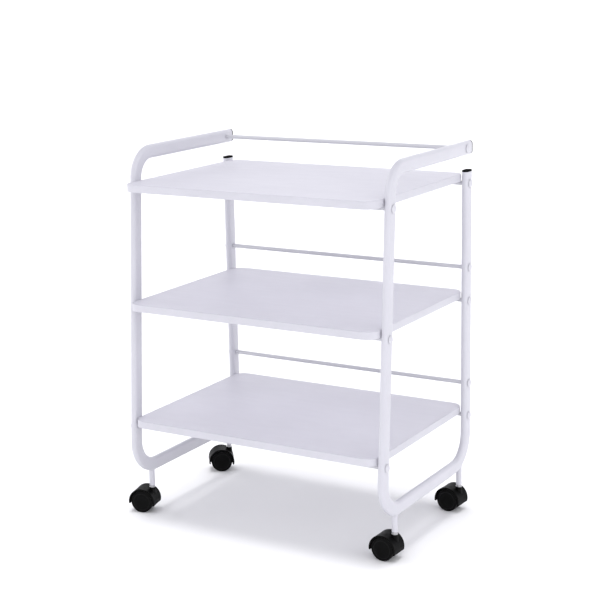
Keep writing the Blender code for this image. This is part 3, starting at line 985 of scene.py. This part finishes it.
def axle_pin(corner):
    """The axle stays as its CAD node, with a better finish."""
    node = frame["nodes"][f"caster_{corner}_axle"]
    for slot in node.material_slots:
        slot.material = STEEL


# --------------------------------------------------- floor, light and camera


def floor():
    """A wide pale matt floor."""
    made, tree, shader, coordinates = new_material("pale_floor")
    clouds = spread(tree, noise(tree, coordinates, scale=1.5, detail=3.0), 0.0, 1.0)
    tone = mix(tree, clouds, FLOOR_DARK, FLOOR_PALE)
    tree.links.new(tone, shader.inputs["Base Color"])
    shader.inputs["Roughness"].default_value = FLOOR_ROUGHNESS
    shader.inputs["Specular IOR Level"].default_value = FLOOR_GLOSS
    bm = bmesh.new()
    bmesh.ops.create_grid(bm, x_segments=1, y_segments=1, size=FLOOR_SIZE / 2)
    to_object(bm, "floor", made)


def world_light(colour, strength):
    """The room's light, with plain white wherever the room itself is in view."""
    world = bpy.data.worlds.new("studio")
    world.use_nodes = True
    tree = world.node_tree
    background = tree.nodes["Background"]
    background.inputs["Color"].default_value = (*colour, 1.0)
    background.inputs["Strength"].default_value = strength
    seen = add_node(tree, "ShaderNodeLightPath").outputs["Is Camera Ray"]
    white = add_node(tree, "ShaderNodeBackground", [("Color", WHITE)]).outputs[0]
    both = add_node(tree, "ShaderNodeMixShader", [(0, seen), (1, background.outputs[0]), (2, white)])
    tree.links.new(both.outputs[0], tree.nodes["World Output"].inputs["Surface"])
    bpy.context.scene.world = world


def soft_light(name, azimuth, elevation, width, strength):
    """A broad light from that direction; azimuth 0 is in front of the cart, and 90 at its +X side."""
    data = bpy.data.lights.new(name, "SUN")
    data.angle = math.radians(width)
    data.energy = strength
    made = bpy.data.objects.new(name, data)
    bpy.context.scene.collection.objects.link(made)
    made.rotation_euler = (math.radians(90 - elevation), 0, math.radians(azimuth))
    return made


def lights():
    """An even room light, soft lights all round, and one from above that adds to the floor's shadow."""
    world_light(ROOM_COLOUR, ROOM_STRENGTH)
    for name, settings in SOFT_LIGHTS.items():
        soft_light(name, *settings)
    above = soft_light("floor_light", *FLOOR_LIGHT)
    receivers = bpy.data.collections.new("floor_light_receivers")
    receivers.objects.link(bpy.data.objects["floor"])
    above.light_linking.receiver_collection = receivers
    bpy.context.scene.view_settings.view_transform = "Standard"


def camera():
    """The camera looks from the front right, turned a little about its own line of sight."""
    flat = math.cos(CAMERA_ELEVATION)
    back = Vector(
        (
            math.sin(CAMERA_AZIMUTH) * flat,
            -math.cos(CAMERA_AZIMUTH) * flat,
            math.sin(CAMERA_ELEVATION),
        )
    )
    level = Vector((math.cos(CAMERA_AZIMUTH), math.sin(CAMERA_AZIMUTH), 0.0))
    raised = back.cross(level)
    right = level * math.cos(CAMERA_ROLL) + raised * math.sin(CAMERA_ROLL)
    up = raised * math.cos(CAMERA_ROLL) - level * math.sin(CAMERA_ROLL)
    data = bpy.data.cameras.new("camera")
    data.lens = CAMERA_LENS
    data.sensor_width = CAMERA_SENSOR
    data.clip_end = 2 * FLOOR_SIZE
    made = bpy.data.objects.new("camera", data)
    bpy.context.scene.collection.objects.link(made)
    turn = Matrix((right, up, back)).transposed().to_4x4()
    made.matrix_world = Matrix.Translation(Vector(CAMERA_TARGET) + back * CAMERA_DISTANCE) @ turn
    bpy.context.scene.camera = made


# ------------------------------------------------------------------ assembly


def build():
    """Makes the camera, then every piece, the floor and the lights."""
    camera()
    for side, sign in SIDES.items():
        side_frame(side)
        end_plugs(side)
        for rod_name in ROD_NAMES:
            bolt(f"bolt_{rod_name}_{side}", sign)
    for level in LEVELS:
        shelf(level)
    for rod_name in ROD_NAMES:
        rod(rod_name)
    for corner in CORNERS:
        stem(corner)
        hood(corner)
        axle_pin(corner)
        for letter in "ab":
            wheel(corner, letter)
    floor()
    lights()


build()
